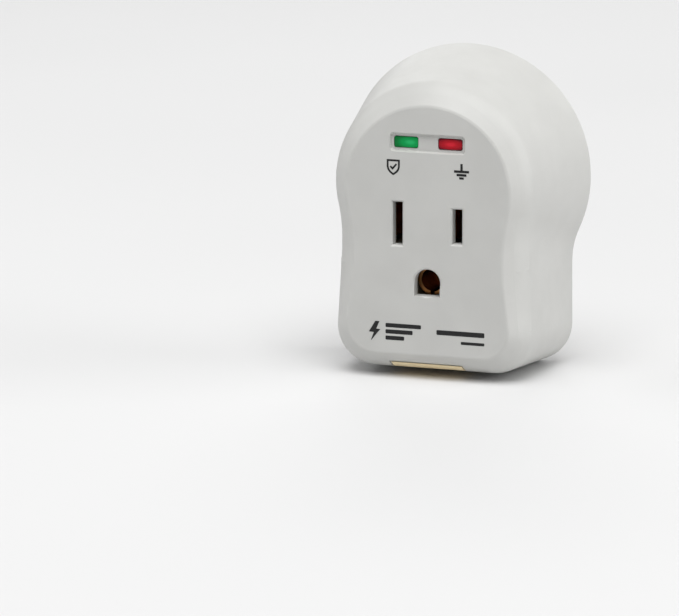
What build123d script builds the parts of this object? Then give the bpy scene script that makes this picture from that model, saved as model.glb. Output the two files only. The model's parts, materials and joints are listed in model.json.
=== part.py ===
# Plug-in surge protector with one grounded 15 A outlet and two indicator lamps.
# Millimetres. +X is to the right seen from the front, +Z is up, and the front faces -Y.
# The origin is on the flat back face, midway between the line and neutral blades.
# Depth d is counted forwards from the back face, so a plane at depth d is Plane.XZ.offset(d).
from build123d import *
from math import atan2, cos, degrees, radians, sin, sqrt
import os

os.makedirs("parts", exist_ok=True)

# ---- driving dimensions -------------------------------------------------------------------
DEPTH = 27.0            # back face to front face
SHOULDER = 3.2          # depth of the rounded shoulder behind the front face
WALL = 2.2
FRONT_WALL = 2.3
COVER_T = 2.4           # rear cover thickness
RABBET = 1.5            # housing rim left outside the rear cover
FACE_R = 0.9            # rounding of the front face's edge
FLANK_R = 6.0           # and of the edge between shoulder and flank

# NEMA 5-15 plug and outlet
PITCH = 12.7            # line blade to neutral blade
BLADE_T = 1.52
LINE_W = 6.35
NEUTRAL_W = 7.9
BLADE_L = 17.5
GROUND_DROP = 11.89
GROUND_R = 2.375
GROUND_L = 20.6
GROUND_ROOT_R = 2.6     # the ground pin's root in the rear cover
GROUND_ROOT_L = 0.3     # length of the taper from the root to the pin
GROUND_BORE_R = 2.42
SLOT_T = 2.1
LINE_SLOT = 7.2
NEUTRAL_SLOT = 8.9
GROUND_HOLE_R = 2.75
LEAD_IN = 0.35

# indicator lamps
LAMP_X = 4.7
LAMP_Z = 16.7
LAMP_W = 5.0
LAMP_H = 2.2
RECESS_W = 16.0
RECESS_H = 3.9
RECESS_D = 0.7
RECESS_BEVEL = 0.3

# inside stack, as depths from the back face
FOOT_T = 1.5            # blade foot, on the rear cover
STRIP_T = 0.8           # contact base strip, on the blade foot
LEAF_T = 0.6
LEAF_BEND = 9.2         # where the contact leaves start to close in
LEAF_GRIP = 19.0        # where they grip
LEAF_FRONT = 23.1       # and their front end
RETAINER_D = 5.4
RETAINER_T = 1.6
BOARD_D = 5.0
BOARD_T = 1.6
SHEET_D = 4.3
SHEET_T = 0.25

BOSS_R = 3.0
BOSS_FRONT = 19.0
SCREW_R = 1.45
SCREW_HEAD_R = 2.7
SCREW_HEAD_T = 1.4
SCREW_L = 12.0
SCREWS = [(-17.3, 13.5), (17.3, 13.5), (-15.5, -24.0), (15.5, -24.0)]

VARISTOR_R = 6.0
VARISTOR_T = 4.0

# ---- outlines of the body ------------------------------------------------------------------
# Each outline is a round crown, a concave waist, a straight side and a rounded foot.
BACK = dict(crown_r=26.2, crown_z=7.0, waist_r=16.0, foot_w=22.5, foot_z=-32.0, foot_r=8.5, lean=0.5)
FLANK = dict(crown_r=20.8, crown_z=7.5, waist_r=30.0, foot_w=20.6, foot_z=-30.5, foot_r=8.0, lean=3.0)
FACE = dict(crown_r=17.5, crown_z=6.8, waist_r=45.0, foot_w=17.3, foot_z=-27.0, foot_r=6.0, lean=7.0)


def outline(shape, inset=0.0):
    """The body's outline moved inwards by inset, as a sketch."""
    crown_r = shape["crown_r"] - inset
    crown_z = shape["crown_z"]
    waist_r = shape["waist_r"] + inset
    foot_w = shape["foot_w"] - inset
    foot_z = shape["foot_z"] + inset
    foot_r = shape["foot_r"] - inset
    lean = radians(shape["lean"])
    # the side line lies at distance `reach` from the origin, along its outward normal
    reach = (foot_w - foot_r) * cos(lean) + (foot_z + foot_r) * sin(lean) + foot_r
    across = reach + waist_r - crown_z * sin(lean)
    along = crown_z * cos(lean) - sqrt((crown_r + waist_r) ** 2 - across ** 2)
    waist_x = (reach + waist_r) * cos(lean) - along * sin(lean)
    waist_z = (reach + waist_r) * sin(lean) + along * cos(lean)
    crown_turn = degrees(atan2(waist_x, waist_z - crown_z))
    waist_turn = crown_turn - 90 + shape["lean"]
    with BuildSketch() as section:
        with BuildLine():
            crown = JernArc(start=(0, crown_z + crown_r), tangent=(1, 0), radius=crown_r, arc_size=-crown_turn)
            waist = JernArc(start=crown @ 1, tangent=crown % 1, radius=waist_r, arc_size=waist_turn)
            corner = JernArc(start=(foot_w - foot_r, foot_z), tangent=(1, 0), radius=foot_r,
                             arc_size=90 + shape["lean"])
            Line(waist @ 1, corner @ 1)
            Line((0, foot_z), corner @ 0)
            mirror(about=Plane.YZ)
        make_face()
    return section.sketch


def save(piece, name):
    """Label one finished piece and write its file."""
    piece.part.label = name
    export_step(piece.part, f"parts/{name}.step")


# ---- outer form of the body, before it is hollowed ------------------------------------------
with BuildPart() as form:
    with BuildSketch(Plane.XZ):
        add(outline(BACK))
    with BuildSketch(Plane.XZ.offset(DEPTH - SHOULDER)):
        add(outline(FLANK))
    loft(ruled=True)
    with BuildSketch(Plane.XZ.offset(DEPTH - SHOULDER)):
        add(outline(FLANK))
    with BuildSketch(Plane.XZ.offset(DEPTH)):
        add(outline(FACE))
    loft(ruled=True)
    fillet(form.faces().sort_by(Axis.Y)[0].edges(), FACE_R)
    shoulder_edges = form.edges().filter_by_position(Axis.Y, SHOULDER - DEPTH - 0.01, SHOULDER - DEPTH + 0.01)
    fillet(shoulder_edges, FLANK_R)

with BuildPart() as cavity:
    with BuildSketch(Plane.XZ):
        add(outline(BACK, WALL))
    with BuildSketch(Plane.XZ.offset(DEPTH - FRONT_WALL)):
        add(outline(FLANK, SHOULDER))
    loft(ruled=True)

# label on the lower front edge, in a shallow well
FOOT_LABEL_W = 15.0
FOOT_LABEL_X = -0.7     # its middle
FOOT_LABEL_TOP = -29.1
FOOT_LABEL_REAR = 17.0  # depth of its rear edge
FOOT_LABEL_IN = 0.05    # its face, measured inwards from the body's surface
WELL_FLOOR = 0.3
WELL_GAP = 0.4


def edge_section(inset):
    """The body's section through its middle, from the foot round to the face, moved inwards by inset."""
    with BuildSketch() as section:
        with BuildLine():
            Polyline(
                (0, BACK["foot_z"]),
                (SHOULDER - DEPTH, FLANK["foot_z"]),
                (-DEPTH, FACE["foot_z"]),
                (-DEPTH, 0),
                (0, 0),
                close=True,
            )
        make_face()
        fillet(section.vertices().sort_by_distance((SHOULDER - DEPTH, FLANK["foot_z"]))[0], FLANK_R)
        fillet(section.vertices().sort_by_distance((-DEPTH, FACE["foot_z"]))[0], FACE_R)
        if inset:
            offset(amount=-inset)
    return section.sketch


def edge_skin(near, far, border):
    """The skin between two depths under the lower front edge, as large as the label plus a border."""
    half_w = FOOT_LABEL_W / 2 + border
    front = DEPTH + 1
    rear = FOOT_LABEL_REAR - border
    with BuildPart() as skin:
        with BuildSketch(Plane.YZ.offset(FOOT_LABEL_X - half_w)):
            add(edge_section(near))
            add(edge_section(far), mode=Mode.SUBTRACT)
            with Locations((-(front + rear) / 2, FOOT_LABEL_TOP + border - 5)):
                Rectangle(front - rear, 10, mode=Mode.INTERSECT)
        extrude(amount=2 * half_w)
    return skin.part


# ---- front housing ---------------------------------------------------------------------------
SLOTS = [(-PITCH / 2, NEUTRAL_SLOT), (PITCH / 2, LINE_SLOT)]

with BuildPart() as front_housing:
    add(form.part)
    add(cavity.part, mode=Mode.SUBTRACT)
    # rabbet for the rear cover
    with BuildSketch(Plane.XZ):
        add(outline(BACK, RABBET))
    extrude(amount=COVER_T, mode=Mode.SUBTRACT)
    # screw bosses, run into the tapering wall
    with BuildSketch(Plane.XZ.offset(COVER_T)):
        with Locations(*SCREWS):
            Circle(BOSS_R)
    extrude(amount=BOSS_FRONT - COVER_T)
    # pilot holes for the screws
    with BuildSketch(Plane.XZ.offset(COVER_T)):
        with Locations(*SCREWS):
            Circle(SCREW_R)
    extrude(amount=SCREW_L - COVER_T + 1, mode=Mode.SUBTRACT)
    # outlet openings through the front wall
    with BuildSketch(Plane.XZ.offset(DEPTH - FRONT_WALL - 0.5)):
        for slot_x, slot_h in SLOTS:
            with Locations((slot_x, 0)):
                Rectangle(SLOT_T, slot_h)
        with Locations((0, -GROUND_DROP)):
            Circle(GROUND_HOLE_R)
        with Locations((0, -GROUND_DROP - 1.4)):
            Rectangle(2 * GROUND_HOLE_R, 2.8)
    extrude(amount=FRONT_WALL + 1, mode=Mode.SUBTRACT)
    # lead-in bevels round the openings
    for slot_x, slot_h in SLOTS:
        with BuildSketch(Plane.XZ.offset(DEPTH - LEAD_IN)):
            with Locations((slot_x, 0)):
                Rectangle(SLOT_T, slot_h)
        with BuildSketch(Plane.XZ.offset(DEPTH)):
            with Locations((slot_x, 0)):
                Rectangle(SLOT_T + 2 * LEAD_IN, slot_h + 2 * LEAD_IN)
        loft(mode=Mode.SUBTRACT)
    with BuildSketch(Plane.XZ.offset(DEPTH - LEAD_IN)):
        with Locations((0, -GROUND_DROP)):
            Circle(GROUND_HOLE_R)
    with BuildSketch(Plane.XZ.offset(DEPTH)):
        with Locations((0, -GROUND_DROP)):
            Circle(GROUND_HOLE_R + LEAD_IN)
    loft(mode=Mode.SUBTRACT)
    # lamp recess, its edge bevelled, and one window for each lamp
    with BuildSketch(Plane.XZ.offset(DEPTH - RECESS_D)):
        with Locations((0, LAMP_Z)):
            RectangleRounded(RECESS_W - 2 * RECESS_BEVEL, RECESS_H - 2 * RECESS_BEVEL, 0.5)
    with BuildSketch(Plane.XZ.offset(DEPTH)):
        with Locations((0, LAMP_Z)):
            RectangleRounded(RECESS_W, RECESS_H, 0.5 + RECESS_BEVEL)
    loft(mode=Mode.SUBTRACT)
    with BuildSketch(Plane.XZ.offset(DEPTH - FRONT_WALL - 0.5)):
        with Locations((-LAMP_X, LAMP_Z), (LAMP_X, LAMP_Z)):
            RectangleRounded(LAMP_W + 0.2, LAMP_H + 0.2, 0.45)
    extrude(amount=FRONT_WALL + 0.4, mode=Mode.SUBTRACT)
    # shallow well for the foot label
    add(edge_skin(-0.3, WELL_FLOOR, WELL_GAP), mode=Mode.SUBTRACT)
save(front_housing, "front_housing")

with BuildPart() as foot_label:
    add(edge_skin(FOOT_LABEL_IN, WELL_FLOOR, 0))
save(foot_label, "foot_label")

# ---- contact shroud: three sleeves on one web, held between the retainer and the front wall ----
SLEEVE_W = 6.6
SLEEVE_H = 10.4
SLEEVE_WALL = 1.0
GROUND_SLEEVE_R = 4.6
SLEEVE_REAR = RETAINER_D + RETAINER_T
SLEEVE_FRONT = DEPTH - FRONT_WALL
WEB_D = 14.0
WEB_T = 1.2
WEB_W = 18.0
WEB_TOP = 5.0
WEB_LOW = -14.0

with BuildPart() as contact_shroud:
    with BuildSketch(Plane.XZ.offset(SLEEVE_REAR)):
        with Locations((-PITCH / 2, 0), (PITCH / 2, 0)):
            Rectangle(SLEEVE_W + 2 * SLEEVE_WALL, SLEEVE_H + 2 * SLEEVE_WALL)
        with Locations((0, -GROUND_DROP)):
            Circle(GROUND_SLEEVE_R + SLEEVE_WALL)
    extrude(amount=SLEEVE_FRONT - SLEEVE_REAR)
    with BuildSketch(Plane.XZ.offset(WEB_D)):
        with Locations((0, (WEB_TOP + WEB_LOW) / 2)):
            RectangleRounded(WEB_W, WEB_TOP - WEB_LOW, 2.0)
    extrude(amount=WEB_T)
    with BuildSketch(Plane.XZ.offset(SLEEVE_REAR)):
        with Locations((-PITCH / 2, 0), (PITCH / 2, 0)):
            Rectangle(SLEEVE_W, SLEEVE_H)
        with Locations((0, -GROUND_DROP)):
            Circle(GROUND_SLEEVE_R)
    extrude(amount=SLEEVE_FRONT - SLEEVE_REAR, mode=Mode.SUBTRACT)
save(contact_shroud, "contact_shroud")

# ---- rear cover --------------------------------------------------------------------------------
COVER_GAP = 0.1
BACK_LABEL_W = 22.0
BACK_LABEL_H = 9.0
BACK_LABEL_Z = -23.5
BACK_LABEL_T = 0.15

with BuildPart() as rear_cover:
    with BuildSketch(Plane.XZ):
        add(outline(BACK, RABBET + COVER_GAP))
    extrude(amount=COVER_T)
    # counterbored screw holes
    with BuildSketch(Plane.XZ):
        with Locations(*SCREWS):
            Circle(SCREW_HEAD_R + 0.2)
    extrude(amount=SCREW_HEAD_T + 0.1, mode=Mode.SUBTRACT)
    with BuildSketch(Plane.XZ):
        with Locations(*SCREWS):
            Circle(SCREW_R + 0.2)
        with Locations((-PITCH / 2, 0)):
            Rectangle(BLADE_T, NEUTRAL_W)
        with Locations((PITCH / 2, 0)):
            Rectangle(BLADE_T, LINE_W)
        with Locations((0, -GROUND_DROP)):
            Circle(GROUND_ROOT_R)
    extrude(amount=COVER_T, mode=Mode.SUBTRACT)
    # shallow panel for the back label
    with BuildSketch(Plane.XZ):
        with Locations((0, BACK_LABEL_Z)):
            RectangleRounded(BACK_LABEL_W + 0.6, BACK_LABEL_H + 0.6, 1.1)
    extrude(amount=BACK_LABEL_T + 0.1, mode=Mode.SUBTRACT)
save(rear_cover, "rear_cover")

with BuildPart() as back_label:
    with BuildSketch(Plane.XZ.offset(0.1)):
        with Locations((0, BACK_LABEL_Z)):
            RectangleRounded(BACK_LABEL_W, BACK_LABEL_H, 0.8)
    extrude(amount=BACK_LABEL_T)
save(back_label, "back_label")

with BuildPart() as cover_screws:
    with BuildSketch(Plane.XZ.offset(0.1)):
        with Locations(*SCREWS):
            Circle(SCREW_HEAD_R)
    extrude(amount=SCREW_HEAD_T)
    chamfer(cover_screws.faces().sort_by(Axis.Y)[-4:].edges(), 0.4)
    with BuildSketch(Plane.XZ.offset(SCREW_HEAD_T)):
        with Locations(*SCREWS):
            Circle(SCREW_R)
    extrude(amount=SCREW_L - SCREW_HEAD_T)
    chamfer(cover_screws.faces().sort_by(Axis.Y)[:4].edges(), 0.7)
    with BuildSketch(Plane.XZ.offset(0.1)):
        with Locations(*SCREWS):
            Rectangle(3.4, 0.7)
            Rectangle(0.7, 3.4)
    extrude(amount=0.9, mode=Mode.SUBTRACT)
save(cover_screws, "cover_screws")

# ---- blades and ground pin ------------------------------------------------------------------------
FOOT_D = COVER_T
STRIP_D = FOOT_D + FOOT_T
LEAF_REAR = STRIP_D + STRIP_T
RIVET_Z = 7.4
RIVET_R = 1.0
GROUND_RIVET_Z = -GROUND_DROP - 7.4


def blade(name, side, width):
    """One flat blade with its foot inside the cover; side is -1 for neutral, 1 for line."""
    blade_x = side * PITCH / 2
    with BuildPart() as piece:
        with BuildSketch(Plane.YZ.offset(blade_x - BLADE_T / 2)):
            with Locations(((BLADE_L - COVER_T) / 2, 0)):
                Rectangle(BLADE_L + COVER_T, width)
        extrude(amount=BLADE_T)
        tip_edges = piece.faces().sort_by(Axis.Y)[-1].edges()
        chamfer(tip_edges.filter_by(Axis.Z), 0.5)
        corner_edges = piece.edges().filter_by(Axis.X).sort_by(Axis.Y)[-2:]
        fillet(corner_edges, 1.0)
        with BuildSketch(Plane.YZ.offset(blade_x - BLADE_T)):
            with Locations((BLADE_L - 5.8, 0)):
                Circle(1.6)
        extrude(amount=2 * BLADE_T, mode=Mode.SUBTRACT)
        with BuildSketch(Plane.XZ.offset(FOOT_D)):
            with Locations((blade_x, (RIVET_Z + 2 - width / 2) / 2)):
                Rectangle(4.4, RIVET_Z + 2 + width / 2)
        extrude(amount=FOOT_T)
        with BuildSketch(Plane.XZ.offset(FOOT_D)):
            with Locations((blade_x, RIVET_Z)):
                Circle(RIVET_R)
        extrude(amount=FOOT_T, mode=Mode.SUBTRACT)
    save(piece, name)


blade("neutral_blade", -1, NEUTRAL_W)
blade("line_blade", 1, LINE_W)

with BuildPart() as ground_pin:
    with BuildSketch(Plane.XZ.offset(-GROUND_L)):
        with Locations((0, -GROUND_DROP)):
            Circle(GROUND_R)
    extrude(amount=GROUND_L + COVER_T)
    fillet(ground_pin.faces().sort_by(Axis.Y)[-1].edges(), GROUND_R - 0.35)
    # swaged root, tapering to the pin just behind the cover
    with BuildSketch(Plane.XZ):
        with Locations((0, -GROUND_DROP)):
            Circle(GROUND_ROOT_R)
    extrude(amount=COVER_T)
    with BuildSketch(Plane.XZ):
        with Locations((0, -GROUND_DROP)):
            Circle(GROUND_ROOT_R)
    with BuildSketch(Plane.XZ.offset(-GROUND_ROOT_L)):
        with Locations((0, -GROUND_DROP)):
            Circle(GROUND_R)
    loft()
    with BuildSketch(Plane.XZ.offset(FOOT_D)):
        with Locations((0, -GROUND_DROP)):
            Circle(3.6)
        with Locations((0, (GROUND_RIVET_Z - 2 - GROUND_DROP) / 2)):
            Rectangle(4.4, -GROUND_DROP - GROUND_RIVET_Z + 2)
    extrude(amount=FOOT_T)
    with BuildSketch(Plane.XZ.offset(FOOT_D)):
        with Locations((0, GROUND_RIVET_Z)):
            Circle(RIVET_R)
    extrude(amount=FOOT_T, mode=Mode.SUBTRACT)
save(ground_pin, "ground_pin")

# ---- outlet contacts -----------------------------------------------------------------------------
LEAF_H = 6.4
LEAF_ROOT = 2.3         # leaf to blade centre at the base strip
LEAF_PINCH = 0.85       # and where the leaves grip
LEAF_MOUTH = 1.9        # and at the flared mouth


def contact(name, side):
    """A spring clip: two leaves folded up from a base strip riveted to the blade's foot."""
    clip_x = side * PITCH / 2
    with BuildPart() as piece:
        with BuildSketch(Plane.XY.offset(-LEAF_H / 2)):
            for leaf in (-1, 1):
                with BuildLine():
                    Polyline(
                        (clip_x + leaf * LEAF_ROOT, -STRIP_D - 0.3),
                        (clip_x + leaf * LEAF_ROOT, -LEAF_BEND),
                        (clip_x + leaf * LEAF_PINCH, -LEAF_GRIP),
                        (clip_x + leaf * LEAF_MOUTH, -LEAF_FRONT),
                    )
                trace(line_width=LEAF_T)
        extrude(amount=LEAF_H)
        with BuildSketch(Plane.XZ.offset(STRIP_D)):
            with Locations((clip_x, (RIVET_Z + 2 - LEAF_H / 2) / 2)):
                Rectangle(2 * LEAF_ROOT + LEAF_T, RIVET_Z + 2 + LEAF_H / 2)
        extrude(amount=STRIP_T)
        with BuildSketch(Plane.XZ.offset(STRIP_D)):
            with Locations((clip_x, RIVET_Z)):
                Circle(RIVET_R)
        extrude(amount=STRIP_T, mode=Mode.SUBTRACT)
        split(bisect_by=Plane.XZ.offset(STRIP_D), keep=Keep.TOP)
    save(piece, name)


contact("neutral_contact", -1)
contact("line_contact", 1)

GROUND_TUBE_R = 3.1
GROUND_TUBE_REAR = 9.0
with BuildPart() as ground_contact:
    # split spring tube, on a neck from the base strip
    with BuildSketch(Plane.XZ.offset(STRIP_D)):
        with Locations((0, -GROUND_DROP)):
            Circle(GROUND_TUBE_R)
    extrude(amount=LEAF_FRONT - STRIP_D)
    with BuildSketch(Plane.XZ.offset(STRIP_D + STRIP_T)):
        with Locations((0, -GROUND_DROP)):
            Circle(GROUND_BORE_R)
    extrude(amount=LEAF_FRONT - STRIP_D, mode=Mode.SUBTRACT)
    with BuildSketch(Plane.XZ.offset(GROUND_TUBE_REAR)):
        with Locations((0, -GROUND_DROP - GROUND_TUBE_R)):
            Rectangle(0.8, 2 * GROUND_TUBE_R - 1)
    extrude(amount=LEAF_FRONT, mode=Mode.SUBTRACT)
    with BuildSketch(Plane.XZ.offset(STRIP_D)):
        with Locations((0, (GROUND_RIVET_Z - 2 - GROUND_DROP) / 2)):
            Rectangle(4.4, -GROUND_DROP - GROUND_RIVET_Z + 2)
    extrude(amount=STRIP_T)
    with BuildSketch(Plane.XZ.offset(STRIP_D)):
        with Locations((0, GROUND_RIVET_Z)):
            Circle(RIVET_R)
    extrude(amount=STRIP_T, mode=Mode.SUBTRACT)
save(ground_contact, "ground_contact")

RIVETS = [(-PITCH / 2, RIVET_Z), (PITCH / 2, RIVET_Z), (0, GROUND_RIVET_Z)]
with BuildPart() as contact_rivets:
    with BuildSketch(Plane.XZ.offset(FOOT_D)):
        with Locations(*RIVETS):
            Circle(RIVET_R)
    extrude(amount=FOOT_T + STRIP_T)
    with BuildSketch(Plane.XZ.offset(FOOT_D + FOOT_T + STRIP_T)):
        with Locations(*RIVETS):
            Circle(1.6)
    extrude(amount=0.6)
    fillet(contact_rivets.faces().sort_by(Axis.Y)[:3].edges(), 0.4)
save(contact_rivets, "contact_rivets")

# moulded plate that holds the contact strips down on the blade feet
with BuildPart() as contact_retainer:
    with BuildSketch(Plane.XZ.offset(RETAINER_D)):
        with Locations((0, -5.6)):
            RectangleRounded(24.0, 22.4, 2.0)
        with Locations((-PITCH / 2, 0), (PITCH / 2, 0)):
            Rectangle(2 * LEAF_ROOT + LEAF_T + 0.4, LEAF_H + 0.4, mode=Mode.SUBTRACT)
        with Locations((0, -GROUND_DROP)):
            Circle(GROUND_TUBE_R + 0.2, mode=Mode.SUBTRACT)
    extrude(amount=RETAINER_T)
    with BuildSketch(Plane.XZ.offset(LEAF_REAR)):
        with Locations((-11.0, 0), (11.0, 0)):
            Rectangle(1.6, 7.0)
    extrude(amount=RETAINER_D - LEAF_REAR)
save(contact_retainer, "contact_retainer")

# ---- circuit board and what stands on it -----------------------------------------------------------
BOARD_FRONT = BOARD_D + BOARD_T
BOARD_W = 27.0
BOARD_LOW = 10.0
BOARD_HIGH = 28.2
BOARD_CROWN = 21.3

with BuildPart() as circuit_board:
    with BuildSketch(Plane.XZ.offset(BOARD_D)):
        with Locations((0, BACK["crown_z"])):
            Circle(BOARD_CROWN)
        with Locations((0, (BOARD_LOW + BOARD_HIGH) / 2)):
            Rectangle(BOARD_W, BOARD_HIGH - BOARD_LOW, mode=Mode.INTERSECT)
    extrude(amount=BOARD_T)
save(circuit_board, "circuit_board")

with BuildPart() as insulating_sheet:
    with BuildSketch(Plane.XZ.offset(SHEET_D)):
        with Locations((0, BACK["crown_z"])):
            Circle(BOARD_CROWN + 0.3)
        with Locations((0, (BOARD_LOW + BOARD_HIGH) / 2)):
            Rectangle(BOARD_W + 0.5, BOARD_HIGH - BOARD_LOW, mode=Mode.INTERSECT)
    extrude(amount=SHEET_T)
save(insulating_sheet, "insulating_sheet")


def varistor(name, place, upright):
    """A coated disc on two leads; upright discs face +X, the others face +Z."""
    disc_x, disc_z = place
    centre_y = -(BOARD_FRONT + 0.8 + VARISTOR_R)
    disc_plane = Plane(
        origin=(disc_x, centre_y, disc_z),
        x_dir=(0, 1, 0),
        z_dir=(1, 0, 0) if upright else (0, 0, 1),
    )
    with BuildPart() as piece:
        with BuildSketch(disc_plane):
            Circle(VARISTOR_R)
        extrude(amount=VARISTOR_T / 2, both=True)
        fillet(piece.edges().filter_by(GeomType.CIRCLE), 1.3)
        with BuildSketch(Plane.XZ.offset(BOARD_FRONT)):
            for lead in (-2.5, 2.5):
                with Locations((disc_x, disc_z + lead) if upright else (disc_x + lead, disc_z)):
                    Circle(0.4)
        extrude(amount=3.0)
    save(piece, name)


varistor("line_neutral_varistor", (0, 23.8), False)
varistor("line_ground_varistor", (11.0, 17.2), True)
varistor("neutral_ground_varistor", (-11.0, 17.2), True)

# thermal fuse between the discs, in a shrink sleeve
FUSE_Z = 12.6
FUSE_D = BOARD_FRONT + 2.4
FUSE_R = 1.6
with BuildPart() as thermal_fuse:
    with BuildSketch(Plane.YZ.offset(-4.6)):
        with Locations((-FUSE_D, FUSE_Z)):
            Circle(FUSE_R)
    extrude(amount=9.2)
    fillet(thermal_fuse.edges().filter_by(GeomType.CIRCLE), 0.4)
    with BuildSketch(Plane.YZ.offset(-6.6)):
        with Locations((-FUSE_D, FUSE_Z)):
            Circle(0.35)
    extrude(amount=13.2)
    with BuildSketch(Plane.XZ.offset(BOARD_FRONT)):
        with Locations((-6.6, FUSE_Z), (6.6, FUSE_Z)):
            Circle(0.35)
    extrude(amount=FUSE_D - BOARD_FRONT + 0.35)
save(thermal_fuse, "thermal_fuse")

with BuildPart() as fuse_sleeve:
    with BuildSketch(Plane.YZ.offset(-4.0)):
        with Locations((-FUSE_D, FUSE_Z)):
            Circle(FUSE_R + 0.3)
            Circle(FUSE_R, mode=Mode.SUBTRACT)
    extrude(amount=8.0)
save(fuse_sleeve, "fuse_sleeve")


def axial_parts(name, places, along, radius, length):
    """Small parts lying on the board, each a body with two bent leads; along is the body's axis."""
    centre_d = BOARD_FRONT + radius + 0.2
    reach = length / 2 + 0.9
    with BuildPart() as piece:
        for part_x, part_z in places:
            with BuildSketch(Plane(origin=(part_x, -centre_d, part_z), z_dir=along)):
                Circle(radius)
            extrude(amount=length / 2, both=True)
        fillet(piece.edges().filter_by(GeomType.CIRCLE), 0.35)
        for part_x, part_z in places:
            with BuildSketch(Plane(origin=(part_x, -centre_d, part_z), z_dir=along)):
                Circle(0.3)
            extrude(amount=reach + 0.15, both=True)
            ends = [(part_x + side * reach * along[0], part_z + side * reach * along[2]) for side in (-1, 1)]
            with BuildSketch(Plane.XZ.offset(BOARD_FRONT)):
                with Locations(*ends):
                    Circle(0.3)
            extrude(amount=centre_d - BOARD_FRONT + 0.25)
    save(piece, name)


axial_parts("lamp_resistors", [(-7.6, 23.2), (7.6, 23.2)], (0, 0, 1), 1.05, 4.6)
axial_parts("lamp_diodes", [(-3.4, 20.4), (3.4, 20.4)], (1, 0, 0), 0.85, 3.8)

# ---- indicator lamps ---------------------------------------------------------------------------------
SPACER_W = 15.4
SPACER_H = 3.4
SPACER_FRONT = 20.0
LAMP_FRONT = DEPTH - RECESS_D + 0.15
LAMP_FLANGE = 0.5
LEAD_PITCH = 2.54
LEAD_T = 0.5


def lamp(name, lamp_x):
    """A rectangular lamp: lens, flange and two leads that go through the spacer to the board."""
    with BuildPart() as piece:
        with BuildSketch(Plane.XZ.offset(SPACER_FRONT)):
            with Locations((lamp_x, LAMP_Z)):
                RectangleRounded(LAMP_W, LAMP_H, 0.35)
        extrude(amount=LAMP_FRONT - SPACER_FRONT)
        fillet(piece.faces().sort_by(Axis.Y)[0].edges(), 0.15)
        with BuildSketch(Plane.XZ.offset(SPACER_FRONT)):
            with Locations((lamp_x, LAMP_Z)):
                Rectangle(LAMP_W + 2 * LAMP_FLANGE, SPACER_H)
        extrude(amount=1.2)
        with BuildSketch(Plane.XZ.offset(BOARD_FRONT)):
            with Locations((lamp_x - LEAD_PITCH / 2, LAMP_Z), (lamp_x + LEAD_PITCH / 2, LAMP_Z)):
                Rectangle(LEAD_T, LEAD_T)
        extrude(amount=SPACER_FRONT - BOARD_FRONT)
    save(piece, name)


lamp("green_lamp", -LAMP_X)
lamp("red_lamp", LAMP_X)

with BuildPart() as lamp_spacer:
    with BuildSketch(Plane.XZ.offset(BOARD_FRONT)):
        with Locations((0, LAMP_Z)):
            RectangleRounded(SPACER_W, SPACER_H, 0.6)
        with Locations((-LAMP_X, LAMP_Z), (LAMP_X, LAMP_Z)):
            with GridLocations(LEAD_PITCH, 0, 2, 1):
                Rectangle(LEAD_T, LEAD_T, mode=Mode.SUBTRACT)
    extrude(amount=SPACER_FRONT - BOARD_FRONT)
save(lamp_spacer, "lamp_spacer")

# ---- leads from the contact strips to the board ---------------------------------------------------------
LEAD_R = 0.8


def lead(name, route, bends):
    """One insulated lead: straight runs joined by tangent arcs."""
    with BuildPart() as piece:
        with BuildLine() as path:
            FilletPolyline(*route, radius=bends)
        with BuildSketch(Plane(origin=path.line @ 0, z_dir=path.line % 0)):
            Circle(LEAD_R)
        sweep(path=path.line)
    save(piece, name)


RIVET_FRONT = FOOT_D + FOOT_T + STRIP_T + 0.6
LEAD_END_Z = 11.4
for lead_name, side in (("line_lead", 1), ("neutral_lead", -1)):
    lead(
        lead_name,
        [
            (side * PITCH / 2, -RIVET_FRONT, RIVET_Z),
            (side * PITCH / 2, -8.8, RIVET_Z),
            (side * 9.2, -8.8, LEAD_END_Z),
            (side * 9.2, -BOARD_FRONT, LEAD_END_Z),
        ],
        [1.4, 1.2],
    )
# the ground lead goes round the outside of the ground and neutral sleeves
lead(
    "ground_lead",
    [
        (0, -RIVET_FRONT, GROUND_RIVET_Z),
        (0, -8.4, GROUND_RIVET_Z),
        (-12.7, -8.6, -14.0),
        (-12.7, -8.6, 7.5),
        (-11.9, -8.6, LEAD_END_Z),
        (-11.9, -BOARD_FRONT, LEAD_END_Z),
    ],
    [1.4, 5.0, 5.0, 1.2],
)
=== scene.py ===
# Looks of a plug-in surge protector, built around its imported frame. Metres, +Z up, front faces -Y.
import json
import math

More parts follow.
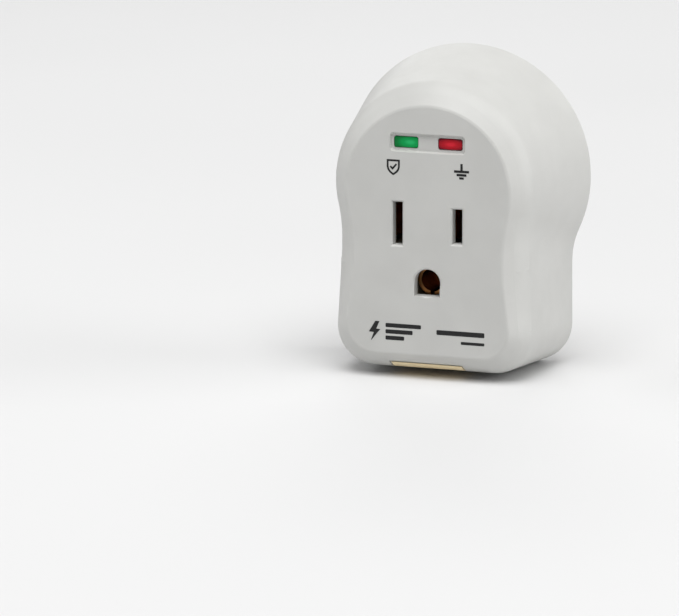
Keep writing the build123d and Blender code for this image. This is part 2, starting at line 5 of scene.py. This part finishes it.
import bmesh
import bpy
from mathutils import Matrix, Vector


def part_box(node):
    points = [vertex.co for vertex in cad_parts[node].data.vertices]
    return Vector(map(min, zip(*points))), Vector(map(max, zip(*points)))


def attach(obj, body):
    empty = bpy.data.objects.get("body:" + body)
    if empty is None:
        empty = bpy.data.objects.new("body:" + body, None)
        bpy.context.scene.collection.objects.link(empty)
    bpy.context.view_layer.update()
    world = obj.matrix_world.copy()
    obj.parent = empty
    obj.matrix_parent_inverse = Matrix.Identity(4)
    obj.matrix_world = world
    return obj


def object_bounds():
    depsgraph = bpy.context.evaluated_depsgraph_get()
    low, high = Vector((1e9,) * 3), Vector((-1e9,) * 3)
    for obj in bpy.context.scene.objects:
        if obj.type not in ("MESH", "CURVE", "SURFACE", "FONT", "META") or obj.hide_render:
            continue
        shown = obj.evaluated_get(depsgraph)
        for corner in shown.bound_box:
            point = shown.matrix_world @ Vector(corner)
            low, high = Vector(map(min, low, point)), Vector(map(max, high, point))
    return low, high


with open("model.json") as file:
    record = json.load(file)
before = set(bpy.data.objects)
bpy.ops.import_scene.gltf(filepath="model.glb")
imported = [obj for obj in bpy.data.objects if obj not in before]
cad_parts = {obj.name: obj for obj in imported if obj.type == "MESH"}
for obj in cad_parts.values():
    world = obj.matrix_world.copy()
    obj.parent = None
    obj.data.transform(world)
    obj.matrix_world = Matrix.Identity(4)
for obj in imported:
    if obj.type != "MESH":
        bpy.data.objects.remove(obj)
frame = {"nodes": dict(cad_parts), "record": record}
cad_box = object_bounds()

MM = 0.001

# ---- places taken from the frame -----------------------------------------------------------
housing_low, housing_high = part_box("front_housing")
FACE_Y = housing_low.y
FLOOR_Z = cad_box[0].z
label_low, label_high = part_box("back_label")
green_low, green_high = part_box("green_lamp")
red_low, red_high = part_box("red_lamp")

# ---- camera: above and to the right of the face, far off, with a long lens ---------------------
TARGET = Vector((0, 0, 7 * MM))
DISTANCE = 1.2
YAW = math.radians(19.5)
ELEVATION = math.radians(11.5)
VIEW_W = 139.71 * MM            # how wide a strip is seen at TARGET
AIM_LEFT = 26.65 * MM           # the camera aims this far left of TARGET
AIM_UNDER = 28.60 * MM          # and this far under it
SENSOR = 36

forward = Vector((
    -math.sin(YAW) * math.cos(ELEVATION),
    math.cos(YAW) * math.cos(ELEVATION),
    -math.sin(ELEVATION),
))
right = Vector((math.cos(YAW), math.sin(YAW), 0))
up = right.cross(forward)

bpy.ops.object.select_all(action="DESELECT")
camera_place = TARGET - forward * DISTANCE - right * AIM_LEFT - up * AIM_UNDER
bpy.ops.object.camera_add(location=camera_place)
camera = bpy.context.object
camera.rotation_mode = "QUATERNION"
camera.rotation_quaternion = forward.to_track_quat("-Z", "Y")
camera.data.sensor_width = SENSOR
camera.data.lens = DISTANCE * SENSOR / VIEW_W
camera.data.clip_start = 0.05
camera.data.clip_end = 60
bpy.context.scene.camera = camera

# ---- materials ------------------------------------------------------------------------------------


def linear(code):
    """An sRGB hex colour as linear red, green, blue and alpha."""
    channels = [int(code[start:start + 2], 16) / 255 for start in (0, 2, 4)]
    return [
        value / 12.92 if value <= 0.04045 else ((value + 0.055) / 1.055) ** 2.4
        for value in channels
    ] + [1]


def per_metre(size_mm):
    """The scale of a noise whose features are about size_mm across."""
    return 1 / (size_mm * MM)


def add(tree, kind, values=None, links=None, **settings):
    """Add one node with its settings, its sockets' values and its incoming links."""
    node = tree.nodes.new(kind)
    for name, value in settings.items():
        setattr(node, name, value)
    for socket, value in (values or {}).items():
        node.inputs[socket].default_value = value
    for socket, source in (links or {}).items():
        tree.links.new(source, node.inputs[socket])
    return node


def material(name, **constants):
    """A named material: its node tree, its shader and its object coordinates."""
    made = bpy.data.materials.new(name)
    made.use_nodes = True
    tree = made.node_tree
    shader = tree.nodes["Principled BSDF"]
    for socket, value in constants.items():
        shader.inputs[socket.replace("_", " ")].default_value = value
    place = add(tree, "ShaderNodeTexCoord").outputs["Object"]
    return made, tree, shader, place


def mottle(tree, shader, place, colour, darker, size_mm, detail=2.0, low=0.35, high=0.65):
    """Colour that drifts between two near shades over patches of size_mm."""
    noise = add(tree, "ShaderNodeTexNoise", {"Scale": per_metre(size_mm), "Detail": detail}, {"Vector": place})
    ramp = add(tree, "ShaderNodeValToRGB", None, {"Fac": noise.outputs["Fac"]})
    ramp.color_ramp.elements[0].position = low
    ramp.color_ramp.elements[0].color = linear(darker)
    ramp.color_ramp.elements[1].position = high
    ramp.color_ramp.elements[1].color = linear(colour)
    tree.links.new(ramp.outputs["Color"], shader.inputs["Base Color"])
    return ramp.outputs["Color"]


def uneven_gloss(tree, shader, place, low, high, size_mm):
    """Roughness that drifts between two values over patches of size_mm."""
    noise = add(tree, "ShaderNodeTexNoise", {"Scale": per_metre(size_mm), "Detail": 3.0}, {"Vector": place})
    spread = add(tree, "ShaderNodeMapRange", {"From Min": 0.3, "From Max": 0.7, "To Min": low, "To Max": high},
                 {"Value": noise.outputs["Fac"]})
    tree.links.new(spread.outputs["Result"], shader.inputs["Roughness"])


def grain(tree, shader, height, depth_mm, strength=1.0, under=None):
    """Bump from a height between 0 and 1, depth_mm deep; under is the bump it lies on."""
    bump = add(tree, "ShaderNodeBump", {"Distance": depth_mm * MM, "Strength": strength}, {"Height": height})
    if under:
        tree.links.new(under, bump.inputs["Normal"])
    tree.links.new(bump.outputs["Normal"], shader.inputs["Normal"])
    return bump.outputs["Normal"]


def moulded_plastic(name, colour, darker, rough, grain_mm, depth_mm):
    """Moulded plastic with a spark-eroded grain: soft, slightly uneven sheen over a fine pebbled skin."""
    made, tree, shader, place = material(name, IOR=1.5)
    mottle(tree, shader, place, colour, darker, 9)
    uneven_gloss(tree, shader, place, rough - 0.04, rough + 0.05, 2.5)
    swell = add(tree, "ShaderNodeTexNoise", {"Scale": per_metre(14), "Detail": 1.0}, {"Vector": place})
    flow = grain(tree, shader, swell.outputs["Fac"], 0.05, 0.5)
    pebbles = add(tree, "ShaderNodeTexNoise", {"Scale": per_metre(grain_mm), "Detail": 3.0, "Roughness": 0.6},
                  {"Vector": place})
    grain(tree, shader, pebbles.outputs["Fac"], depth_mm, 0.6, flow)
    return made


def drawn_metal(name, colour, darker, rough, stroke_mm, stretch):
    """Plated or bare sheet metal: fine drawing lines along one axis, with a gloss that varies along them."""
    made, tree, shader, place = material(name, Metallic=1.0)
    mottle(tree, shader, place, colour, darker, 3)
    along = add(tree, "ShaderNodeMapping", {"Scale": stretch}, {"Vector": place})
    lines = add(tree, "ShaderNodeTexNoise", {"Scale": per_metre(stroke_mm), "Detail": 3.0},
                {"Vector": along.outputs["Vector"]})
    spread = add(tree, "ShaderNodeMapRange", {"To Min": rough - 0.08, "To Max": rough + 0.12},
                 {"Value": lines.outputs["Fac"]})
    tree.links.new(spread.outputs["Result"], shader.inputs["Roughness"])
    grain(tree, shader, lines.outputs["Fac"], 0.006, 0.5)
    return made


def printed_paper(name, colour, darker, rough, fibre_mm):
    """Uncoated or filmed label stock: a dull face with short fibres just showing."""
    made, tree, shader, place = material(name, Roughness=rough, IOR=1.45)
    along = add(tree, "ShaderNodeMapping", {"Scale": (0.25, 1, 1)}, {"Vector": place})
    mottle(tree, shader, along.outputs["Vector"], colour, darker, fibre_mm, 4.0)
    fibres = add(tree, "ShaderNodeTexNoise", {"Scale": per_metre(fibre_mm), "Detail": 4.0},
                 {"Vector": along.outputs["Vector"]})
    grain(tree, shader, fibres.outputs["Fac"], 0.01, 0.5)
    return made


def lamp_epoxy(name, colour, rim, core, centre, core_x, core_w, core_h, glow):
    """Diffused lamp epoxy: a saturated body, darker at the rim, with the lit die glowing through its middle."""
    made, tree, shader, place = material(
        name, IOR=1.53, Roughness=0.3, Specular_IOR_Level=0.15, Subsurface_Weight=0.1, Subsurface_Scale=0.4 * MM,
        Emission_Strength=glow)
    oval = add(tree, "ShaderNodeMapping",
               {"Location": (-(centre.x + core_x) / core_w, 0, -centre.z / core_h),
                "Scale": (1 / core_w, 0, 1 / core_h)}, {"Vector": place})
    reach = add(tree, "ShaderNodeVectorMath", None, {0: oval.outputs["Vector"]}, operation="LENGTH")
    ramp = add(tree, "ShaderNodeValToRGB", None, {"Fac": reach.outputs["Value"]})
    ramp.color_ramp.interpolation = "EASE"
    ramp.color_ramp.elements[0].position = 0.12
    ramp.color_ramp.elements[0].color = linear(core)
    ramp.color_ramp.elements[1].position = 1.0
    ramp.color_ramp.elements[1].color = linear(rim)
    ramp.color_ramp.elements.new(0.5).color = linear(colour)
    tree.links.new(ramp.outputs["Color"], shader.inputs["Base Color"])
    tree.links.new(ramp.outputs["Color"], shader.inputs["Emission Color"])
    specks = add(tree, "ShaderNodeTexNoise", {"Scale": per_metre(0.5), "Detail": 2.0}, {"Vector": place})
    grain(tree, shader, specks.outputs["Fac"], 0.01, 0.5)
    return made


def banded(name, colour, darker, axis, bands, rough):
    """Lacquered or moulded axial part with printed bands at given places along its body."""
    made, tree, shader, place = material(name, Roughness=rough, IOR=1.5)
    shade = mottle(tree, shader, place, colour, darker, 0.8)
    parts = add(tree, "ShaderNodeSeparateXYZ", None, {"Vector": place})
    for where, half_w, ink in bands:
        # the two parts stand mirrored about X = 0, so bands along X are placed by distance from it
        folded = add(tree, "ShaderNodeMath", None, {0: parts.outputs[axis]}, operation="ABSOLUTE")
        gap = add(tree, "ShaderNodeMath", {1: where * MM, 2: half_w * MM}, {0: folded.outputs[0]},
                  operation="COMPARE")
        mixed = add(tree, "ShaderNodeMixRGB", {"Color2": linear(ink)},
                    {"Fac": gap.outputs[0], "Color1": shade})
        shade = mixed.outputs["Color"]
    tree.links.new(shade, shader.inputs["Base Color"])
    return made


def dipped_epoxy():
    """Blue powder epoxy, dipped and baked: a glossy, slightly rippled orange-peel skin."""
    made, tree, shader, place = material("dipped_blue_epoxy", IOR=1.55, Coat_Weight=0.3, Coat_Roughness=0.15)
    mottle(tree, shader, place, "2456A0", "1B4688", 2)
    uneven_gloss(tree, shader, place, 0.28, 0.42, 1.5)
    peel = add(tree, "ShaderNodeTexNoise", {"Scale": per_metre(0.9), "Detail": 1.0}, {"Vector": place})
    grain(tree, shader, peel.outputs["Fac"], 0.06, 0.6)
    return made


def phenolic_board():
    """Paper-phenolic laminate: tan, with a faint weave of paper fibres and a dull gloss."""
    made, tree, shader, place = material("phenolic_board", IOR=1.5)
    along = add(tree, "ShaderNodeMapping", {"Scale": (1, 1, 0.2)}, {"Vector": place})
    mottle(tree, shader, along.outputs["Vector"], "B98F58", "A47C49", 0.6, 4.0)
    uneven_gloss(tree, shader, place, 0.4, 0.55, 1.0)
    return made


def print_ink():
    """Pad-printed ink: near-black, a little glossier than the plastic, thinner in places."""
    made, tree, shader, place = material("pad_print_ink", IOR=1.45)
    mottle(tree, shader, place, "141415", "0D0D0E", 0.5)
    uneven_gloss(tree, shader, place, 0.38, 0.5, 0.4)
    return made


ALONG_Y = (1, 0.05, 1)
ALONG_Z = (1, 1, 0.05)
# printed bands: place along the axis and half width in mm, and the ink
RESISTOR_BANDS = [(21.6, 0.2, "6B3A1E"), (22.5, 0.2, "1A1A1A"), (23.4, 0.2, "C8641E"), (24.7, 0.2, "B8963C")]
DIODE_BAND = [(4.7, 0.25, "B9B9B9")]
LAMP_GLOW = 0.06                # emission strength: unpowered lenses still catch light inside
green_centre = (green_low + green_high) / 2
red_centre = (red_low + red_high) / 2

FINISHES = {
    # ABS from a spark-eroded mould: warm light grey, matt, with a skin too fine to glint
    "housing_plastic": moulded_plastic("moulded_abs_warm_grey", "C9C9C6", "C5C5C2", 0.52, 0.35, 0.02),
    "cover_plastic": moulded_plastic("moulded_abs_cover", "C6C6C3", "C1C1BE", 0.56, 0.3, 0.02),
    "retainer_nylon": moulded_plastic("moulded_natural_nylon", "D8D4C4", "CFCAB8", 0.4, 0.6, 0.01),
    "spacer_nylon": moulded_plastic("moulded_white_nylon", "E2E1DB", "D9D7D0", 0.4, 0.6, 0.01),
    "label_film": printed_paper("matt_polyester_film", "DEDEDA", "D6D6D2", 0.4, 0.4),
    "foot_label_paper": printed_paper("cream_label_paper", "FFF0CC", "FBE5B8", 0.6, 0.4),
    "fish_paper": printed_paper("vulcanised_fibre_sheet", "8D928D", "7F847F", 0.65, 0.5),
    # nickel plate over stamped brass: pale, faintly yellow, with drawing lines along the blade
    "blade_brass": drawn_metal("nickel_plated_brass", "CFC9B8", "C2BBA8", 0.26, 0.12, ALONG_Y),
    "contact_bronze": drawn_metal("rolled_phosphor_bronze", "C08A55", "AD7846", 0.3, 0.12, ALONG_Y),
    "rivet_brass": drawn_metal("headed_brass", "CBAA62", "B8964F", 0.3, 0.2, ALONG_Y),
    "screw_steel": drawn_metal("zinc_plated_steel", "B4B6B8", "9FA2A5", 0.32, 0.15, ALONG_Z),
    "fuse_case": drawn_metal("tinned_fuse_case", "BEBFC0", "ABACAD", 0.3, 0.15, ALONG_Z),
    "shrink_sleeve": moulded_plastic("shrunk_black_sleeve", "1C1C1C", "151515", 0.4, 0.5, 0.02),
    "varistor_epoxy": dipped_epoxy(),
    "board_laminate": phenolic_board(),
    "line_insulation": moulded_plastic("extruded_black_pvc", "1E1E1E", "171717", 0.38, 0.6, 0.01),
    "neutral_insulation": moulded_plastic("extruded_white_pvc", "E4E3DE", "DCDAD4", 0.38, 0.6, 0.01),
    "ground_insulation": moulded_plastic("extruded_green_pvc", "2A7A3A", "226B31", 0.38, 0.6, 0.01),
    "resistor_body": banded("lacquered_resistor", "C9AE7C", "BFA270", "Z", RESISTOR_BANDS, 0.35),
    "diode_body": banded("moulded_diode", "161616", "101010", "X", DIODE_BAND, 0.35),
    "green_lens": lamp_epoxy("diffused_green_epoxy", "00964A", "006E32", "24AE64", green_centre,
                             0.9 * MM, 3.2 * MM, 1.4 * MM, LAMP_GLOW),
    "red_lens": lamp_epoxy("diffused_red_epoxy", "AC1020", "64081A", "CE2233", red_centre,
                           0.1 * MM, 3.4 * MM, 1.3 * MM, LAMP_GLOW),
}

for subpart in frame["record"]["subparts"]:
    node = frame["nodes"][subpart["node"]]
    finish = FINISHES[subpart["material_slot"]]
    if node.material_slots:
        for place in node.material_slots:
            place.material = finish
    else:
        node.data.materials.append(finish)

# ---- printed marks on the face and the back label ---------------------------------------------------
INK_T = 0.02 * MM               # how far the ink stands proud
INK_SINK = 0.02 * MM            # and how far it is keyed into the plastic
INK = print_ink()


def pick(test):
    """In edit mode, select only the vertices whose place passes the test."""
    mesh = bmesh.from_edit_mesh(bpy.context.edit_object.data)
    bpy.ops.mesh.select_all(action="DESELECT")
    for vertex in mesh.verts:
        vertex.select_set(bool(test(vertex.co)))
    mesh.select_flush(True)
    bmesh.update_edit_mesh(bpy.context.edit_object.data)


def start_patch(centre, width, height):
    """A flat upright patch on the face, left in edit mode with all of it selected."""
    bpy.ops.object.select_all(action="DESELECT")
    bpy.ops.mesh.primitive_plane_add(size=1, location=(0, 0, 0), rotation=(math.radians(90), 0, 0))
    patch = bpy.context.object
    patch.scale = (width, height, 1)
    patch.location = centre
    bpy.ops.object.transform_apply(location=True, rotation=True, scale=True)
    bpy.ops.object.mode_set(mode="EDIT")
    bpy.ops.mesh.select_all(action="SELECT")
    return patch


def raise_ink(towards):
    """Give the flat patch in edit mode its ink thickness, and leave edit mode."""
    bpy.ops.mesh.select_all(action="SELECT")
    bpy.ops.mesh.extrude_region_move(TRANSFORM_OT_translate={"value": (0, towards * (INK_T + INK_SINK), 0)})
    bpy.ops.mesh.select_all(action="SELECT")
    bpy.ops.mesh.normals_make_consistent(inside=False)
    bpy.ops.object.mode_set(mode="OBJECT")


def bar(x, z, width, height, corner, y, towards, tilt=0):
    """A printed bar with rounded corners, turned by tilt degrees in the plane of the face."""
    patch = start_patch((x, y, z), width, height)
    bpy.ops.mesh.bevel(offset=corner, segments=4, affect="VERTICES")
    if tilt:
        bpy.ops.mesh.select_all(action="SELECT")
        bpy.ops.transform.rotate(value=math.radians(tilt), orient_axis="Y", center_override=(x, y, z))
    raise_ink(towards)
    return patch


def slide_and_fit(old, new, x, z, y):
    """Move the selected level edge from the span old to the span new, both measured from x."""
    bpy.ops.transform.translate(value=((sum(new) - sum(old)) / 2, 0, 0))
    ratio = (new[1] - new[0]) / (old[1] - old[0])
    bpy.ops.transform.resize(value=(ratio, 1, 1), center_override=(x + sum(new) / 2, y, z))


def take_out_middle(band):
    """Leave only a border of the flat patch in edit mode."""
    bpy.ops.mesh.select_all(action="SELECT")
    bpy.ops.mesh.inset(thickness=band)
    bpy.ops.mesh.delete(type="FACE")


def ribbon(x, z, rows, corner, y, towards, band=0):
    """A printed shape grown down from its top edge: rows of (height, left, right), or only its outer band."""
    (top, left, right_end), (low, low_left, low_right) = rows[:2]
    patch = start_patch((x + (left + right_end) / 2, y, z + (top + low) / 2), right_end - left, top - low)
    pick(lambda co: co.z < z + (top + low) / 2)
    slide_and_fit((left, right_end), (low_left, low_right), x, z + low, y)
    before = rows[1]
    for row in rows[2:]:
        bpy.ops.mesh.extrude_edges_move(TRANSFORM_OT_translate={"value": (0, 0, row[0] - before[0])})
        slide_and_fit(before[1:], row[1:], x, z + row[0], y)
        before = row
    bpy.ops.mesh.select_all(action="SELECT")
    bpy.ops.mesh.dissolve_faces()
    if band:
        take_out_middle(band)
    else:
        bpy.ops.mesh.bevel(offset=corner, segments=3, affect="VERTICES")
    raise_ink(towards)
    return patch


def mark(name, patches):
    """Join printed patches into one named piece that rides on the body."""
    bpy.ops.object.select_all(action="DESELECT")
    for patch in patches:
        patch.select_set(True)
    bpy.context.view_layer.objects.active = patches[0]
    bpy.ops.object.join()
    piece = bpy.context.object
    piece.name = name
    piece.data.name = name
    bpy.ops.object.transform_apply(location=True, rotation=True, scale=True)
    piece.data.materials.clear()
    piece.data.materials.append(INK)
    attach(piece, "root")
    return piece


FRONT = -1
BACK = 1
face_back = FACE_Y + INK_SINK

# protected: a shield with a tick in it; grounded: an earth symbol
ICON_Z = 11.5 * MM
SHIELD_X = -7.2 * MM
EARTH_X = 7.3 * MM
BORDER_W = 0.4 * MM             # the shield's outline
TICK_W = 0.38 * MM
EARTH_T = 0.5 * MM
ICON_CORNER = 0.1 * MM
TICK_CORNER = 0.08 * MM

# outlines from the top down: height, left and right in mm
SHIELD = [(1.6, -1.4, 1.4), (0.1, -1.4, 1.4), (-0.5, -1.25, 1.25), (-1.0, -0.9, 0.9), (-1.4, -0.4, 0.4),
          (-1.6, -0.1, 0.1)]
BOLT = [(2.0, 0.2, 1.1), (0.42, -0.76, 0.41), (0.36, -0.8, 1.3), (-0.28, -1.19, 0.76), (-0.34, -0.12, 0.7),
        (-2.0, -0.72, -0.62)]


def in_metres(rows):
    """Rows in millimetres as rows in metres."""
    return [tuple(value * MM for value in row) for row in rows]


mark("protected_mark", [
    ribbon(SHIELD_X, ICON_Z, in_metres(SHIELD), 0, face_back, FRONT, BORDER_W),
    bar(SHIELD_X - 0.35 * MM, ICON_Z - 0.1 * MM, TICK_W, 0.85 * MM, TICK_CORNER, face_back, FRONT, 45),
    bar(SHIELD_X + 0.22 * MM, ICON_Z + 0.15 * MM, TICK_W, 1.45 * MM, TICK_CORNER, face_back, FRONT, -40),
])
mark("grounded_mark", [
    bar(EARTH_X, ICON_Z + 0.75 * MM, EARTH_T, 1.5 * MM, 0.05 * MM, face_back, FRONT),
    bar(EARTH_X, ICON_Z - 0.1 * MM, 3.2 * MM, EARTH_T, ICON_CORNER, face_back, FRONT),
    bar(EARTH_X, ICON_Z - 0.8 * MM, 2.1 * MM, EARTH_T, ICON_CORNER, face_back, FRONT),
    bar(EARTH_X, ICON_Z - 1.45 * MM, 1.0 * MM, 0.46 * MM, ICON_CORNER, face_back, FRONT),
])

# a generic mark low on the face: a bolt beside three stepped rules, and two light rules
MARK_Z = -22.4 * MM
STEP_H = 0.85 * MM              # the three stepped rules
STEP_GAP = 1.3 * MM
RULE_CORNER = 0.2 * MM
mark("face_mark", [
    ribbon(-11.2 * MM, MARK_Z, in_metres(BOLT), 0.04 * MM, face_back, FRONT),
    bar(-5.0 * MM, MARK_Z + STEP_GAP, 7.6 * MM, STEP_H, RULE_CORNER, face_back, FRONT),
    bar(-5.9 * MM, MARK_Z, 5.8 * MM, STEP_H, RULE_CORNER, face_back, FRONT),
    bar(-6.8 * MM, MARK_Z - STEP_GAP, 4.0 * MM, STEP_H, RULE_CORNER, face_back, FRONT),
    bar(7.2 * MM, MARK_Z + 0.5 * MM, 10.2 * MM, 1.0 * MM, RULE_CORNER, face_back, FRONT),
    bar(9.8 * MM, MARK_Z - 1.4 * MM, 5.0 * MM, 0.6 * MM, 0.15 * MM, face_back, FRONT),
])

# the back label's blank form: a border and the rules between its empty fields
label_x = (label_low.x + label_high.x) / 2
label_z = (label_low.z + label_high.z) / 2
label_w = label_high.x - label_low.x
label_h = label_high.z - label_low.z
label_back = label_high.y - INK_SINK
BORDER_IN = 0.7 * MM
RULE_T = 0.16 * MM
FINE_CORNER = 0.02 * MM
side_x = label_w / 2 - BORDER_IN
side_z = label_h / 2 - BORDER_IN
mark("back_label_rules", [
    ribbon(label_x, label_z, [(side_z, -side_x, side_x), (-side_z, -side_x, side_x)], 0, label_back, BACK, RULE_T),
    bar(label_x, label_z + side_z / 3, 2 * side_x, RULE_T, FINE_CORNER, label_back, BACK),
    bar(label_x, label_z - side_z / 3, 2 * side_x, RULE_T, FINE_CORNER, label_back, BACK),
    bar(label_x + side_x / 3, label_z, RULE_T, 2 * side_z, FINE_CORNER, label_back, BACK),
])

# ---- floor and light ---------------------------------------------------------------------------------
FLOOR_R = 6
FLOOR_GAP = 0.1 * MM
bpy.ops.object.select_all(action="DESELECT")
bpy.ops.mesh.primitive_circle_add(vertices=96, radius=FLOOR_R, fill_type="NGON",
                                  location=(0, 0, FLOOR_Z - FLOOR_GAP))
floor = bpy.context.object
floor.name = "floor"
floor_paint, floor_tree, floor_shader, floor_place = material("pale_matt_floor", Roughness=0.8)
mottle(floor_tree, floor_shader, floor_place, "DADADA", "D7D7D7", 300)
floor.data.materials.append(floor_paint)


def softbox(name, place, width, height, watts):
    """A large plain area light at place, turned towards the origin."""
    bpy.ops.object.light_add(type="AREA", location=place)
    light = bpy.context.object
    light.name = name
    light.data.shape = "RECTANGLE"
    light.data.size = width
    light.data.size_y = height
    light.data.energy = watts
    light.rotation_mode = "QUATERNION"
    light.rotation_quaternion = (-Vector(place)).to_track_quat("-Z", "Y")


softbox("overhead_softbox", (0.3, -0.8, 2.15), 2.0, 2.0, 60)
softbox("right_softbox", (2.3, 0.4, 0.8), 1.8, 1.8, 24)
softbox("left_softbox", (-2.2, 0, 1.0), 1.6, 1.6, 12)
softbox("back_softbox", (-0.7, 2.4, 0.7), 1.6, 1.0, 16)

SKY_COLOUR = "F2F2F2"
SKY_STRENGTH = 0.22
bpy.context.scene.view_settings.view_transform = "Standard"
world = bpy.context.scene.world or bpy.data.worlds.new("studio")
bpy.context.scene.world = world
world.use_nodes = True
sky = world.node_tree.nodes["Background"]
sky.inputs["Color"].default_value = linear(SKY_COLOUR)
sky.inputs["Strength"].default_value = SKY_STRENGTH
